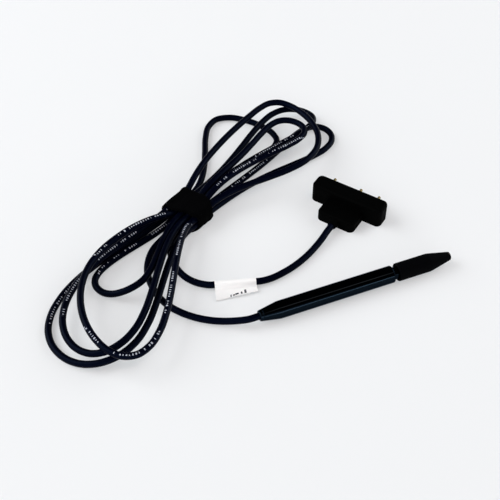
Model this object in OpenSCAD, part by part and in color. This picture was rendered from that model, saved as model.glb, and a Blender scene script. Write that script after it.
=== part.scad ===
// Corded radio-frequency pen handpiece: a chuck handpiece, its wound silicone cord and a three-pin plug.
// Millimetres. X runs along the handpiece from tail to tip, Z is up, and the table is z = 0.

/* [Handle] */
// Length of the handle, from the tail end to the face in front of the neck
handle_len = 90; // [80:1:110]
// Diameter of the handle
handle_d = 11.2; // [10.6:0.1:13]
// Diameter of the tail end
tail_d = 6.8; // [6.6:0.1:8]
// Length of the tapered tail
tail_taper_len = 13; // [9:0.5:18]
// Length of the tail cap that shows
tail_cap_len = 2.2; // [1.5:0.1:4]
// Length of the tail cap's spigot inside the handle
tail_spigot_len = 8; // [5:0.5:12]
// Diameter of the neck that the nose screws on
neck_d = 8.1; // [7.6:0.1:8.6]
// Length of the neck
neck_len = 14; // [12:0.5:16]
// Bevel on the handle's and the nose's edges
edge_bevel = 0.5; // [0.2:0.1:0.8]

/* [Nose] */
// Diameter of the nose
nose_d = 11.7; // [11:0.1:14]
// Gap between the handle and the nose, with the chuck open
nose_gap = 3.3; // [2.6:0.1:5]
// Length of the nose's straight grip
grip_len = 22.7; // [20:0.1:30]
// Length of the nose's cone
cone_len = 15; // [12:0.5:20]
// Diameter of the flat tip
tip_d = 5.4; // [5:0.1:7]
// Length of the threaded insert in the nose
insert_len = 10; // [7:0.5:11]
// Wall of the threaded insert
insert_wall = 0.8; // [0.5:0.05:0.9]
// Depth of the insert behind the nose's rear face
insert_recess = 1.2; // [0.5:0.1:2]

/* [Chuck] */
// Diameter of the electrode shaft that the collet takes
electrode_d = 1.6; // [1.2:0.1:1.8]
// Depth of the electrode socket
socket_depth = 26; // [18:1:30]
// Diameter of the chuck body
chuck_d = 5.2; // [4.6:0.1:5.6]
// Length of the chuck body
chuck_len = 38; // [32:1:44]
// Depth of the collet's seat in the chuck body
collet_seat = 24; // [18:1:26]
// Diameter of the collet's shank and front
collet_d = 3.1; // [2.8:0.1:3.2]
// Diameter of the collet's head
collet_head_d = 5.8; // [5.4:0.1:6]
// Length of the collet's cone
collet_cone_len = 10; // [8:0.5:11]
// Diameter of the cone's small end
collet_cone_end_d = 3.8; // [3.6:0.1:4.2]
// Depth of the collet's front end behind the tip
collet_recess = 1; // [0.5:0.1:2]
// Width of the collet's slots
slot_w = 0.3; // [0.2:0.05:0.4]
// Number of jaws
jaw_count = 3; // [3:1:4]
// Length of the closing sleeve
closer_len = 9.8; // [8:0.1:10]
// Room between the closing sleeve's cone and the collet, with the chuck open
closer_room = 0.4; // [0.3:0.05:0.5]
// Travel of the nose from open to closed
close_travel = 2; // [1.5:0.1:2.2]

/* [Cord] */
// Diameter of the cord
cord_d = 4.4; // [4:0.1:4.6]
// Least room between neighbouring strands of the hank
strand_room = 0.7; // [0.5:0.05:1]
// Diameter of the bare conductor
conductor_d = 1.4; // [1:0.1:1.6]
// Length of cord inside the handle
cord_in_handle = 19.5; // [16:0.5:24]
// Length of the crimp rings on the cord
crimp_len = 4; // [2:0.5:4.5]
// Wall of the crimp rings
crimp_wall = 0.5; // [0.4:0.05:0.6]

/* [Strap and label] */
// Thickness of the strap
strap_t = 1.6; // [1:0.1:2]
// Width of the strap, along the hank
strap_w = 20; // [14:1:20]
// Thickness of the label
label_t = 0.2; // [0.15:0.05:0.3]
// Length of the label along the cord
label_len = 26; // [18:1:28]
// Reach of the label's flag from the cord's axis, at its longer end
flag_reach = 11.9; // [8:0.1:13]
// Reach of the flag at its shorter end, towards the plug
flag_short = 7; // [5:0.1:7.5]

/* [Plug] */
// Length of the plug's bar
bar_len = 52; // [48:0.5:60]
// Depth of the bar, along the pins
bar_depth = 12.5; // [11:0.1:15]
// Height of the bar
bar_h = 14.4; // [13:0.1:16]
// Width of the plug's stem
stem_w = 27; // [20:0.5:30]
// Length of the stem
stem_len = 14.4; // [13:0.1:20]
// Height of the stem
stem_h = 8; // [7.8:0.1:10]
// Radius of the plug's upright corners
corner_r = 3.2; // [1:0.1:3.6]
// Radius along the plug's top edges
top_r = 1.5; // [0.5:0.1:2]
// Diameter of the contact pins
pin_d = 2; // [1.6:0.1:2.4]
// Reach of the pins in front of the plug's face
pin_reach = 7.6; // [6:0.1:12]
// Spacing of the two pins that lie further apart
pin_wide = 19.9; // [18:0.1:22]
// Spacing of the two pins that lie closer together
pin_near = 13.6; // [10:0.1:15]
// Shift of the three pins from the bar's middle
pin_shift = 0.9; // [0:0.1:3]
// Depth of the pin carrier
carrier_depth = 6; // [4:0.1:7]
// Wall of the plug's cover around the pin carrier
cover_wall = 2; // [1.5:0.1:2.5]
// Diameter of the cord boot where it meets the stem
boot_d = 7.4; // [6.8:0.1:8]
// Length of the cord boot
boot_len = 4; // [3:0.5:6]

/* [Hidden] */
$fn = 64;

// Clearances
fit = 0.05;
running_fit = 0.05;
cord_fit = 0.15;
strap_room = 0.3;
face_gap = 0.1;
over = 1;

// Handpiece stations, measured along the axis from the tail end
axis_z = nose_d / 2;
neck_end = handle_len + neck_len;
nose_back = handle_len + nose_gap;
cone_start = nose_back + grip_len;
tip_end = cone_start + cone_len;
tail_x = -tip_end / 2;
insert_back = nose_back + insert_recess;
insert_front = insert_back + insert_len;
chuck_back = neck_end - chuck_len;
collet_back = neck_end - collet_seat;
collet_front = tip_end - collet_recess;
collet_front_len = 13;
cone_front = collet_front - collet_front_len;
cone_back = cone_front - collet_cone_len;
head_len = 1.5;
closer_front = cone_front;
closer_back = closer_front - closer_len;
sleeve_stop = closer_front + face_gap;
crimp_back = tail_cap_len + tail_spigot_len + face_gap;
tail_bore_end = crimp_back + crimp_len + face_gap;
solder_depth = 4;
slot_start = neck_end - 8;

// Handpiece radii
spigot_r = tail_d / 2 - 0.5;
crimp_r = cord_d / 2 + face_gap + crimp_wall;
tail_bore_r = max(spigot_r, crimp_r) + fit;
wire_bore_r = conductor_d / 2 + 0.3;
insert_bore_r = neck_d / 2 + running_fit;
insert_r = insert_bore_r + insert_wall;
closer_r = neck_d / 2;
closer_bore_r = closer_r + face_gap;
tip_bore_r = collet_d / 2 + 0.3;
cone_room_r = collet_cone_end_d / 2 + closer_room;
cone_room_end = sleeve_stop + close_travel + 0.4;

// Radius of the tapered tail at a station
function taper_r(t) = tail_d / 2 + (handle_d - tail_d) / 2 * min(t / tail_taper_len, 1);

// Radius of the collet's cone at a station
function cone_r(t) = collet_head_d / 2
    - (collet_head_d - collet_cone_end_d) / 2 * max(t - cone_back, 0) / collet_cone_len;

// A profile of [radius, station] points turned about the handpiece's axis
module turned(profile) {
    translate([tail_x, 0, axis_z]) rotate([0, 90, 0]) rotate_extrude() polygon(profile);
}

// A round hole or rod along the handpiece's axis
module rod(r, from, to) {
    translate([tail_x + from, 0, axis_z]) rotate([0, 90, 0]) cylinder(r = r, h = to - from);
}

module handle_body() {
    color("#101114") difference() {
        turned([
            [0, tail_cap_len],
            [taper_r(tail_cap_len), tail_cap_len],
            [handle_d / 2, tail_taper_len],
            [handle_d / 2, handle_len - edge_bevel],
            [handle_d / 2 - edge_bevel, handle_len],
            [neck_d / 2, handle_len],
            [neck_d / 2, neck_end - edge_bevel],
            [neck_d / 2 - edge_bevel, neck_end],
            [0, neck_end]]);
        rod(tail_bore_r, tail_cap_len - over, tail_bore_end);
        rod(cord_d / 2 + cord_fit, tail_bore_end - over, cord_in_handle + face_gap);
        rod(wire_bore_r, cord_in_handle, chuck_back + over);
        rod(chuck_d / 2 + fit, chuck_back, neck_end + over);
    }
}

module tail_cap() {
    color("#17181b") difference() {
        turned([
            [0, 0],
            [tail_d / 2 - edge_bevel / 2, 0],
            [taper_r(edge_bevel / 2), edge_bevel / 2],
            [taper_r(tail_cap_len), tail_cap_len],
            [tail_bore_r - fit, tail_cap_len],
            [tail_bore_r - fit, tail_cap_len + tail_spigot_len],
            [0, tail_cap_len + tail_spigot_len]]);
        rod(cord_d / 2 + cord_fit, -over, tail_cap_len + tail_spigot_len + over);
    }
}

module cord_crimp_handle() {
    color("#b9bcc0") difference() {
        rod(crimp_r, crimp_back, crimp_back + crimp_len);
        rod(cord_d / 2 + face_gap, crimp_back - over, crimp_back + crimp_len + over);
    }
}

module handle_conductor() {
    color("#b87345") rod(conductor_d / 2, cord_in_handle, chuck_back + solder_depth);
}

module chuck_body() {
    color("#c9a654") difference() {
        rod(chuck_d / 2, chuck_back, neck_end);
        rod(conductor_d / 2 + fit, chuck_back - over, chuck_back + solder_depth);
        rod(collet_d / 2 + fit, collet_back, neck_end + over);
    }
}

module collet() {
    color("#d0b060") difference() {
        turned([
            [0, collet_back],
            [collet_d / 2, collet_back],
            [collet_d / 2, cone_back - head_len],
            [collet_head_d / 2, cone_back - head_len],
            [collet_head_d / 2, cone_back],
            [collet_cone_end_d / 2, cone_front],
            [collet_d / 2, cone_front],
            [collet_d / 2, collet_front],
            [0, collet_front]]);
        rod(electrode_d / 2, collet_front - socket_depth, collet_front + over);
        for (jaw = [0 : jaw_count - 1])
            translate([tail_x + slot_start, 0, axis_z]) rotate([jaw * 360 / jaw_count, 0, 0])
                translate([0, -slot_w / 2, 0]) cube([tip_end - slot_start, slot_w, collet_head_d]);
    }
}

module closing_sleeve() {
    color("#c9a654") difference() {
        rod(closer_r, closer_back, closer_front);
        turned([
            [0, closer_back - over],
            [cone_r(closer_back - over) + closer_room, closer_back - over],
            [cone_r(closer_back) + closer_room, max(cone_back, closer_back)],
            [cone_r(cone_front) + closer_room, cone_front],
            [cone_r(cone_front) + closer_room, cone_front + over],
            [0, cone_front + over]]);
    }
}

module nose_sleeve() {
    color("#1b1c1e") difference() {
        turned([
            [0, nose_back],
            [nose_d / 2 - edge_bevel, nose_back],
            [nose_d / 2, nose_back + edge_bevel],
            [nose_d / 2, cone_start],
            [tip_d / 2, tip_end],
            [0, tip_end]]);
        rod(insert_r + fit, nose_back - over, insert_front);
        rod(closer_bore_r, nose_back, sleeve_stop);
        rod(cone_room_r, nose_back, cone_room_end);
        rod(tip_bore_r, nose_back, tip_end + over);
    }
}

module nose_thread_insert() {
    color("#c9a654") difference() {
        rod(insert_r, insert_back, insert_front);
        rod(insert_bore_r, insert_back - over, insert_front + over);
    }
}

// Hank frame: along runs from the strap to the far lobe, across to its left, the strap's middle at the origin
hank_at = [-75, 100];
hank_turn = 31;
waist_half = 10;
cord_pitch = cord_d + strand_room;
row_z = strap_t + strap_room + cord_d / 2;
end_run = cord_d;
petal_rings = 24;
hank_sides = 6;
lead_sides = 8;

// Loops of the hank in winding order. Each has its lobe (1 far, -1 near), the waist slots [column, row]
// that it leaves and enters, its reach from the strap, its half width, its lean and the lean's curl at the
// tip, its fullness, and the layers that it rides on going out, at its tip and coming back.
petals = [
    [1, [-1, 0], [-2, 0], 129, 10.9, -36.2, 21.4, 6.6, [0.1, 0, 0]],
    [-1, [-2, 0], [2, 0], 134.5, 22.5, -35.9, 19.7, 3.15, [1, 0, 0.05]],
    [1, [2, 0], [1, 0], 103.7, 24.3, 45, -36.5, 4.9, [0, 0, 0]],
    [-1, [1, 0], [0, 1], 83.9, 13.3, -16.2, 14.6, 3.6, [0, 0, 1.2]],
    [1, [0, 1], [-1, 1], 111.1, 10.6, -14.4, 6.5, 6.8, [2.45, 2.2, 2.4]],
    [-1, [-1, 1], [2, 1], 127.3, 19.8, -38.1, 14.7, 3.1, [1.8, 0.85, 1.05]],
    [1, [2, 1], [-2, 1], 125.2, 20.5, -39.4, 45, 2.55, [2.3, 1.95, 2.25]],
    [-1, [-2, 1], [1, 1], 121.1, 24.6, -40.9, 3.3, 2.5, [2.5, 2.35, 2.4]],
    [1, [1, 1], [0, 0], 133.1, 13.2, -1.7, -4.2, 5.5, [1, 0.6, 1.25]]];

// Shares of a loop at which its height is set: waist, out, out, tip, back, back, waist
height_stops = [0, 0.17, 0.36, 0.5, 0.64, 0.83, 1];

function smooth(t) = let (c = min(max(t, 0), 1)) c * c * (3 - 2 * c);
function slot_across(slot) = slot[0] * cord_pitch;
function slot_height(slot) = row_z + slot[1] * cord_pitch;
function layer_height(n) = cord_d / 2 + n * cord_pitch;

// Height at share t of a loop, eased between the stops
function stop_height(h, t) = let (
        k = max([for (i = [0 : len(height_stops) - 2]) if (t >= height_stops[i]) i]),
        share = (t - height_stops[k]) / (height_stops[k + 1] - height_stops[k]))
    h[k] + (h[k + 1] - h[k]) * smooth(share);

// Point at share t of a loop, in the hank frame
function petal_point(p, t) = let (
        s = sin(180 * t),
        full = p[7],
        peak = pow(full / (full + 1), full / 2) / sqrt(full + 1),
        from = slot_across(p[1]),
        to = slot_across(p[2]),
        out = layer_height(p[8][0]),
        tip = layer_height(p[8][1]),
        back = layer_height(p[8][2]),
        along = waist_half + (p[3] - waist_half) * s * s,
        bulge = sign(from - to) * p[4] * pow(s, full) * cos(180 * t) / peak,
        lean = p[5] * pow(s, 4) + p[6] * pow(s, 8),
        across = bulge + lean + from + (to - from) * smooth(2 * t - 0.5),
        heights = [slot_height(p[1]), out, out, tip, back, back, slot_height(p[2])])
    [p[0] * along, across, stop_height(heights, t)];

function hank_to_part(v) = [
    hank_at[0] + v[0] * cos(hank_turn) - v[1] * sin(hank_turn),
    hank_at[1] + v[0] * sin(hank_turn) + v[1] * cos(hank_turn),
    v[2]];

first_slot = petals[0][1];
last_slot = petals[len(petals) - 1][2];

// A point on a strand's straight end, at a distance from the strap's middle on the near side
function end_point(slot, reach) = hank_to_part([-reach, slot_across(slot), slot_height(slot)]);

hank_route = concat(
    [for (reach = [waist_half + end_run, waist_half]) end_point(first_slot, reach)],
    [for (p = petals) for (i = [0 : petal_rings]) hank_to_part(petal_point(p, i / petal_rings))],
    [for (reach = [waist_half, waist_half + end_run]) end_point(last_slot, reach)]);

// Distance from a point to a straight piece of cord
function point_to_run(p, a, b) = let (
        d = b - a,
        share = min(max((p - a) * d / (d * d), 0), 1))
    norm(p - a - share * d);

// Running length at each point of a route
function running(route) = [
    for (i = 0, s = 0; i < len(route);
            s = s + (i + 1 < len(route) ? norm(route[i + 1] - route[i]) : 0), i = i + 1) s];

// Least gap of a route's cord to itself, past a few diameters of its own run
function least_gap(route, d) = let (
        at = running(route),
        own = 6 * d,
        shares = [0, 0.25, 0.5, 0.75])
    min([for (i = [0 : len(route) - 2]) for (share = shares)
        let (p = route[i] + share * (route[i + 1] - route[i]), here = at[i] + share * (at[i + 1] - at[i]))
        each [for (j = [i : len(route) - 2]) if (at[j] - here > own)
            point_to_run(p, route[j], route[j + 1])]]) - d;

function unit(v) = v / norm(v);

// One ring of a cord, square to its run at point i
function cord_ring(route, i, r, sides) = let (
        run = unit(route[min(i + 1, len(route) - 1)] - route[max(i - 1, 0)]),
        side = unit(cross(run, [0, 0, 1])),
        up = cross(side, run))
    [for (k = [0 : sides - 1]) let (a = 360 * k / sides - 90) route[i] + r * (cos(a) * side + sin(a) * up)];

// A round cord swept along a route, closed at both ends
module swept_cord(route, d, sides) {
    last = len(route) - 1;
    points = [for (i = [0 : last]) each cord_ring(route, i, d / 2, sides)];
    walls = [for (i = [0 : last - 1]) for (k = [0 : sides - 1])
        let (a = i * sides + k, b = i * sides + (k + 1) % sides)
        each [[a, b, b + sides], [a, b + sides, a + sides]]];
    start_cap = [for (k = [1 : sides - 2]) [0, k + 1, k]];
    end_cap = [for (k = [1 : sides - 2]) [last * sides, last * sides + k, last * sides + k + 1]];
    polyhedron(points = points, faces = concat(walls, start_cap, end_cap));
}

// Plug frame: x out of the pin face, y along the bar, the bar's middle at the origin
plug_at = [28.2, 68.3];
plug_turn = 35.9;
pin_z = bar_h / 2;
stem_z = stem_h / 2;
pin_face = bar_depth / 2;
stem_front = -bar_depth / 2 - stem_len;
boot_end = stem_front - boot_len;
pin_y = [for (y = [pin_wide + pin_near, pin_near - pin_wide, -pin_wide - pin_near]) y / 2 + pin_shift];
pin_head_len = 1.2;
pin_shank_r = pin_d / 2 + 0.25;
pin_head_r = pin_shank_r + 0.4;
head_pocket = pin_head_len + 0.3;
carrier_back = pin_face - carrier_depth;
carrier_len = bar_len - 2 * cover_wall;
carrier_h = bar_h - 2 * cover_wall;
cord_in_plug = 8;
cord_stop = stem_front + cord_in_plug;
crimp_room = crimp_r + fit;
boot_seat_d = cord_d + 2 * cord_fit;
wire_turn_x = carrier_back - head_pocket - conductor_d / 2 - fit;

function plug_to_part(v) = [
    plug_at[0] + v[0] * cos(plug_turn) - v[1] * sin(plug_turn),
    plug_at[1] + v[0] * sin(plug_turn) + v[1] * cos(plug_turn),
    v[2]];

// Routes of the two leads, straight where they leave the strap, the handle, the plug and the label
lead_straight = 6;
lead_z = 2.25;
label_z = cord_d / 2 + label_t + 0.25;
label_at = [-68, 32.5];
label_turn = -16.2;
label_half = label_len / 2 + 2;

function label_to_part(along) = [
    label_at[0] + along * cos(label_turn),
    label_at[1] + along * sin(label_turn),
    label_z];

handle_route = concat(
    [for (reach = [waist_half + end_run, waist_half + end_run + 1]) end_point(last_slot, reach)],
    [[-91, 90.2, 3.6], [-98, 85.8, 2.6], [-106, 80, lead_z], [-112, 72, lead_z], [-116, 62, lead_z],
        [-117, 51, lead_z], [-116, 41, lead_z], [-112.6, 31.5, lead_z], [-107, 23, lead_z],
        [-100, 15.9, lead_z], [-92.8, 10.6, 2.4], [-86, 6.6, 3], [-79.8, 3.2, 4.3]],
    [for (t = [-lead_straight, 0, cord_in_handle / 2, cord_in_handle]) [tail_x + t, 0, axis_z]]);

plug_route = concat(
    [for (reach = [waist_half + end_run, waist_half + end_run + 1]) end_point(first_slot, reach)],
    [[-88.5, 85.6, 3.6], [-93.5, 80.5, 2.7], [-96.8, 73, lead_z], [-98, 64, lead_z], [-97.3, 56, lead_z],
        [-95.1, 49.3, lead_z], [-91.6, 43.9, lead_z], [-87.2, 39.8, lead_z]],
    [for (along = [-label_half, 0, label_half]) label_to_part(along)],
    [[-46, 28, lead_z], [-37.2, 29.4, lead_z], [-27.7, 32.2, lead_z], [-17.8, 36.6, lead_z], [-9, 41.7, 2.5],
        [-1.8, 46.4, 3.3]],
    [for (x = [boot_end - cord_d, boot_end, stem_front, cord_stop]) plug_to_part([x, 0, stem_z])]);

module cord_to_handle() {
    run = running(handle_route);
    echo(str("cord from the strap to the handle's end: ", run[len(run) - 1], " mm"));
    color("#141a2b") swept_cord(handle_route, cord_d, lead_sides);
}

module cord_to_plug() {
    run = running(plug_route);
    echo(str("cord from the strap to the plug's end: ", run[len(run) - 1], " mm"));
    color("#141a2b") swept_cord(plug_route, cord_d, lead_sides);
}

module cord_hank() {
    run = running(hank_route);
    echo(str("cord in the hank: ", run[len(run) - 1], " mm"));
    echo(str("least gap of the hank's cord to itself: ", least_gap(hank_route, cord_d), " mm"));
    color("#141a2b") swept_cord(hank_route, cord_d, hank_sides);
}

// A rectangle with round corners, centred across and standing on y = low
module round_rect(w, low, high, r) {
    translate([-w / 2 + r, low]) square([w - 2 * r, high - low]);
    translate([-w / 2, low + r]) square([w, high - low - 2 * r]);
    for (x = [-w / 2 + r, w / 2 - r]) for (y = [low + r, high - r]) translate([x, y]) circle(r);
}

// The band around the waist, with its end lapped over the top and down the right side
module cord_strap() {
    inner_w = 4 * cord_pitch + cord_d + 2 * strap_room;
    inner_low = strap_t;
    inner_high = row_z + cord_pitch + cord_d / 2 + strap_room;
    inner_r = cord_d / 2 + strap_room;
    lap_low = 2 * strap_t;
    lap_start = inner_w / 6;
    color("#0d0d0e") translate([hank_at[0], hank_at[1], 0]) rotate([0, 0, hank_turn])
        rotate([90, 0, 90]) translate([0, 0, -strap_w / 2]) linear_extrude(strap_w) difference() {
            union() {
                round_rect(inner_w + 2 * strap_t, 0, inner_high + strap_t, inner_r + strap_t);
                intersection() {
                    round_rect(inner_w + 4 * strap_t, 0, inner_high + 2 * strap_t, inner_r + 2 * strap_t);
                    translate([-inner_w, lap_low]) square([inner_w + lap_start, inner_high]);
                }
            }
            round_rect(inner_w, inner_low, inner_high, inner_r);
        }
}

// The paper label: a wrap around the cord and a flag that slopes to the table on the near side
module cord_label() {
    wrap_r = cord_d / 2 + 0.05;
    flag_t = 2 * label_t;
    flag_rise = label_z - flag_t;
    flag_tilt = asin(flag_rise / flag_reach);
    far = label_len / 2;
    slope = (flag_reach - flag_short) / label_len;
    color("#f2f2ef") translate([label_at[0], label_at[1], label_z]) rotate([0, 0, label_turn]) difference() {
        rotate([90, 0, 90]) translate([0, 0, -far]) linear_extrude(label_len) difference() {
            union() {
                circle(wrap_r + label_t);
                rotate(flag_tilt) translate([-flag_reach, -flag_t / 2]) square([flag_reach, flag_t]);
            }
            circle(wrap_r);
        }
        translate([0, 0, -2 * label_z]) linear_extrude(4 * label_z) polygon([
            [-far - 1, -flag_reach - slope],
            [far + 1, -flag_short + slope],
            [far + 1, -flag_reach - 2],
            [-far - 1, -flag_reach - 2]]);
    }
}

module in_plug() {
    translate([plug_at[0], plug_at[1], 0]) rotate([0, 0, plug_turn]) children();
}

// A rod along the plug's x axis
module plug_rod(r, from, to, y, z) {
    translate([from, y, z]) rotate([0, 90, 0]) cylinder(r = r, h = to - from);
}

// A block with upright round corners and round top edges, its x range and its y width given
module soft_block(from, to, w, h) {
    mid = (from + to) / 2;
    depth = to - from;
    translate([mid, 0, 0]) intersection() {
        linear_extrude(h) round_rect_plan(depth, w, corner_r);
        rotate([90, 0, 90]) translate([0, 0, -depth]) linear_extrude(2 * depth) round_top(w, h, top_r);
        rotate([90, 0, 0]) translate([0, 0, -w]) linear_extrude(2 * w) round_top(depth, h, top_r);
    }
}

module round_rect_plan(x_size, y_size, r) {
    round_rect(x_size, -y_size / 2, y_size / 2, r);
}

// A rectangle on y = 0 with its two upper corners round
module round_top(w, h, r) {
    translate([-w / 2, 0]) square([w, h - r]);
    translate([-w / 2 + r, 0]) square([w - 2 * r, h]);
    for (x = [-w / 2 + r, w / 2 - r]) translate([x, h - r]) circle(r);
}

module plug_cover() {
    color("#161617") in_plug() difference() {
        union() {
            soft_block(-bar_depth / 2, bar_depth / 2, bar_len, bar_h);
            soft_block(stem_front, bar_depth / 2 - cover_wall, stem_w, stem_h);
        }
        translate([carrier_back, -carrier_len / 2 - fit, cover_wall - fit])
            cube([carrier_depth + over, carrier_len + 2 * fit, carrier_h + 2 * fit]);
        for (y = pin_y) plug_rod(pin_head_r + fit, carrier_back - head_pocket, carrier_back + over, y, pin_z);
        plug_rod(cord_d / 2 + cord_fit, stem_front - over, cord_stop + face_gap, 0, stem_z);
        plug_rod(crimp_room, cord_stop - crimp_len - 2 * face_gap, cord_stop + face_gap, 0, stem_z);
        wire_channel(conductor_d / 2 + fit);
    }
}

module pin_carrier() {
    color("#232325") in_plug() difference() {
        translate([carrier_back, -carrier_len / 2, cover_wall]) cube([carrier_depth, carrier_len, carrier_h]);
        for (y = pin_y) plug_rod(pin_shank_r + fit, carrier_back - over, pin_face + over, y, pin_z);
    }
}

// A contact pin with a round end, a thicker shank in the carrier and a head behind it
module contact_pin(y) {
    r = pin_d / 2;
    nose = r * 0.8;
    length = carrier_depth + pin_reach;
    color("#d8b25a") in_plug() translate([carrier_back, y, pin_z]) rotate([0, 90, 0]) rotate_extrude()
        polygon(concat(
            [[0, -pin_head_len], [pin_head_r, -pin_head_len], [pin_head_r, 0], [pin_shank_r, 0]],
            [[pin_shank_r, carrier_depth], [r, carrier_depth]],
            [for (a = [0 : 15 : 90]) [r * cos(a), length - nose + nose * sin(a)]]));
}

module contact_pin_1() {
    contact_pin(pin_y[0]);
}

module contact_pin_2() {
    contact_pin(pin_y[1]);
}

module contact_pin_3() {
    contact_pin(pin_y[2]);
}

module plug_boot() {
    color("#1a1a1c") in_plug() translate([boot_end, 0, stem_z]) rotate([0, 90, 0]) difference() {
        cylinder(d1 = boot_d - 1.6, d2 = boot_d, h = boot_len);
        translate([0, 0, -over]) cylinder(d = boot_seat_d, h = boot_len + 2 * over);
    }
}

module cord_crimp_plug() {
    color("#b9bcc0") in_plug() difference() {
        plug_rod(crimp_r, cord_stop - crimp_len - face_gap, cord_stop - face_gap, 0, stem_z);
        plug_rod(cord_d / 2 + face_gap, cord_stop - crimp_len - over, cord_stop + over, 0, stem_z);
    }
}

// The channel for the conductor in the plug's cover, with a solder well behind the first pin
module wire_channel(r) {
    well_r = r + 0.2;
    translate([0, 0, stem_z - r]) linear_extrude(2 * r) polygon([
        [cord_stop, -r],
        [wire_turn_x + r, -r],
        [wire_turn_x + r, pin_y[0] + r],
        [wire_turn_x - r, pin_y[0] + r],
        [wire_turn_x - r, r],
        [cord_stop, r]]);
    translate([wire_turn_x - well_r, pin_y[0] - well_r, stem_z - well_r])
        cube([carrier_back - pin_head_len - wire_turn_x + well_r, 2 * well_r, pin_z - stem_z + 2 * well_r]);
}

// The conductor's run from the cord's end to the head of the first pin
module plug_conductor() {
    r = conductor_d / 2;
    color("#b87345") in_plug() {
        plug_rod(r, cord_stop, wire_turn_x, 0, stem_z);
        translate([wire_turn_x, 0, stem_z]) sphere(r);
        translate([wire_turn_x, 0, stem_z]) rotate([-90, 0, 0]) cylinder(r = r, h = pin_y[0]);
        translate([wire_turn_x, pin_y[0], stem_z]) sphere(r);
        translate([wire_turn_x, pin_y[0], stem_z]) cylinder(r = r, h = pin_z - stem_z);
        translate([wire_turn_x, pin_y[0], pin_z]) sphere(r);
        plug_rod(r, wire_turn_x, carrier_back - pin_head_len, pin_y[0], pin_z);
    }
}

handle_body();
tail_cap();
cord_crimp_handle();
handle_conductor();
chuck_body();
collet();
closing_sleeve();
nose_sleeve();
nose_thread_insert();
cord_to_handle();
cord_hank();
cord_to_plug();
cord_strap();
cord_label();
plug_cover();
pin_carrier();
contact_pin_1();
contact_pin_2();
contact_pin_3();
plug_boot();
cord_crimp_plug();
plug_conductor();
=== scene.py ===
"""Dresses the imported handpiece: its finishes, wound cord, strap, label and plug, and the table it lies on."""

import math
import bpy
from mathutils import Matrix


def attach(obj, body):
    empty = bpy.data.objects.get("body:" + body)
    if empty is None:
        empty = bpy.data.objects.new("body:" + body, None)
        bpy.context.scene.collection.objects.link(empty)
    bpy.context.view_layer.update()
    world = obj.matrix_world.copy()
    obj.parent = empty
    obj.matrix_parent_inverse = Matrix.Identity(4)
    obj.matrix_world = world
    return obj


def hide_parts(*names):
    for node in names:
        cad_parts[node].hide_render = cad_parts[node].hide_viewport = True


bl_info = {
    "name": "Corded chuck handpiece",
    "version": (1, 0, 0),
    "blender": (4, 5, 0),
    "location": "View3D > Sidebar > Handpiece",
    "description": "Finishes and soft pieces for a corded chuck handpiece, and a studio table",
    "category": "Object",
}

import bpy
from bpy.props import FloatProperty, FloatVectorProperty, IntProperty, PointerProperty
from mathutils import Vector

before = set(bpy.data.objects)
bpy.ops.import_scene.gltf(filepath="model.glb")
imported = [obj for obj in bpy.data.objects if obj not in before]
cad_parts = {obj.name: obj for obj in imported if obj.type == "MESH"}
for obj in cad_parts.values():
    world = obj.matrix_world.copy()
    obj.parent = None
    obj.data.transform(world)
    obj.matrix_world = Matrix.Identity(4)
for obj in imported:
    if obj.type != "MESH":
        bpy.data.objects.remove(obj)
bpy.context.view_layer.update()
MM = 0.001

# The handpiece lies along X, with its axis at this height and its tail here
AXIS_Z = 5.85 * MM
TAIL_X = -65.5 * MM


def metres(name, description, default, low, high):
    """A length for the sidebar."""
    return FloatProperty(name=name, description=description, default=default, min=low, max=high,
                         precision=5, unit="LENGTH")


def colour(name, description, default):
    """A linear colour for the sidebar."""
    return FloatVectorProperty(name=name, description=description, default=default, min=0.0, max=1.0,
                               size=3, subtype="COLOR")


class HandpieceSettings(bpy.types.PropertyGroup):
    handle: colour("Handle", "Polished black of the handle and its tail cap", (0.0040, 0.0072, 0.0112))
    nose: colour("Nose", "Matt plastic of the nose", (0.0004, 0.0005, 0.0009))
    brass: colour("Chuck", "Brass of the chuck's pieces", (0.62, 0.44, 0.17))


class CordSettings(bpy.types.PropertyGroup):
    diameter: metres("Diameter", "Diameter of the cord", 4.4 * MM, 0.002, 0.006)
    ring_step: metres("Ring spacing", "Spacing of the rings along the cord's mesh", 1.6 * MM, 0.0005, 0.004)
    sides: IntProperty(name="Sides", description="Faces round the cord", default=20, min=8, max=32)
    jacket: colour("Jacket", "Silicone jacket of the cord", (0.0002, 0.0005, 0.0040))
    mark: colour("Marks", "Printed ticks on the cord", (0.42, 0.45, 0.52))


class StrapSettings(bpy.types.PropertyGroup):
    width: metres("Width", "Width of the strap along the hank", 19.6 * MM, 0.01, 0.02)
    thickness: metres("Thickness", "Thickness of one layer of the strap", 1.45 * MM, 0.0008, 0.0016)
    cloth: colour("Cloth", "Hook and loop cloth of the strap", (0.0003, 0.0003, 0.0005))


class LabelSettings(bpy.types.PropertyGroup):
    thickness: metres("Thickness", "Thickness of the label's paper", 0.14 * MM, 0.00005, 0.0003)
    length: metres("Length", "Length of the label along the cord", 26.0 * MM, 0.018, 0.028)
    reach: metres("Reach", "Reach of the flag from the cord's axis at its longer end", 11.9 * MM,
                  0.008, 0.013)
    short_reach: metres("Short reach", "Reach of the flag at its end towards the plug", 7.0 * MM,
                        0.005, 0.0075)
    paper: colour("Paper", "Coated paper of the label", (0.965, 0.97, 0.975))
    ink: colour("Ink", "Row of plain ticks on the label", (0.03, 0.035, 0.05))


class PlugSettings(bpy.types.PropertyGroup):
    cover: colour("Cover", "Moulded cover of the plug and its boot", (0.0003, 0.0004, 0.0004))
    carrier: colour("Pin carrier", "Resin block that holds the pins", (0.006, 0.006, 0.0065))
    gold: colour("Pins", "Gold plating of the contact pins", (0.24, 0.185, 0.08))


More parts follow.
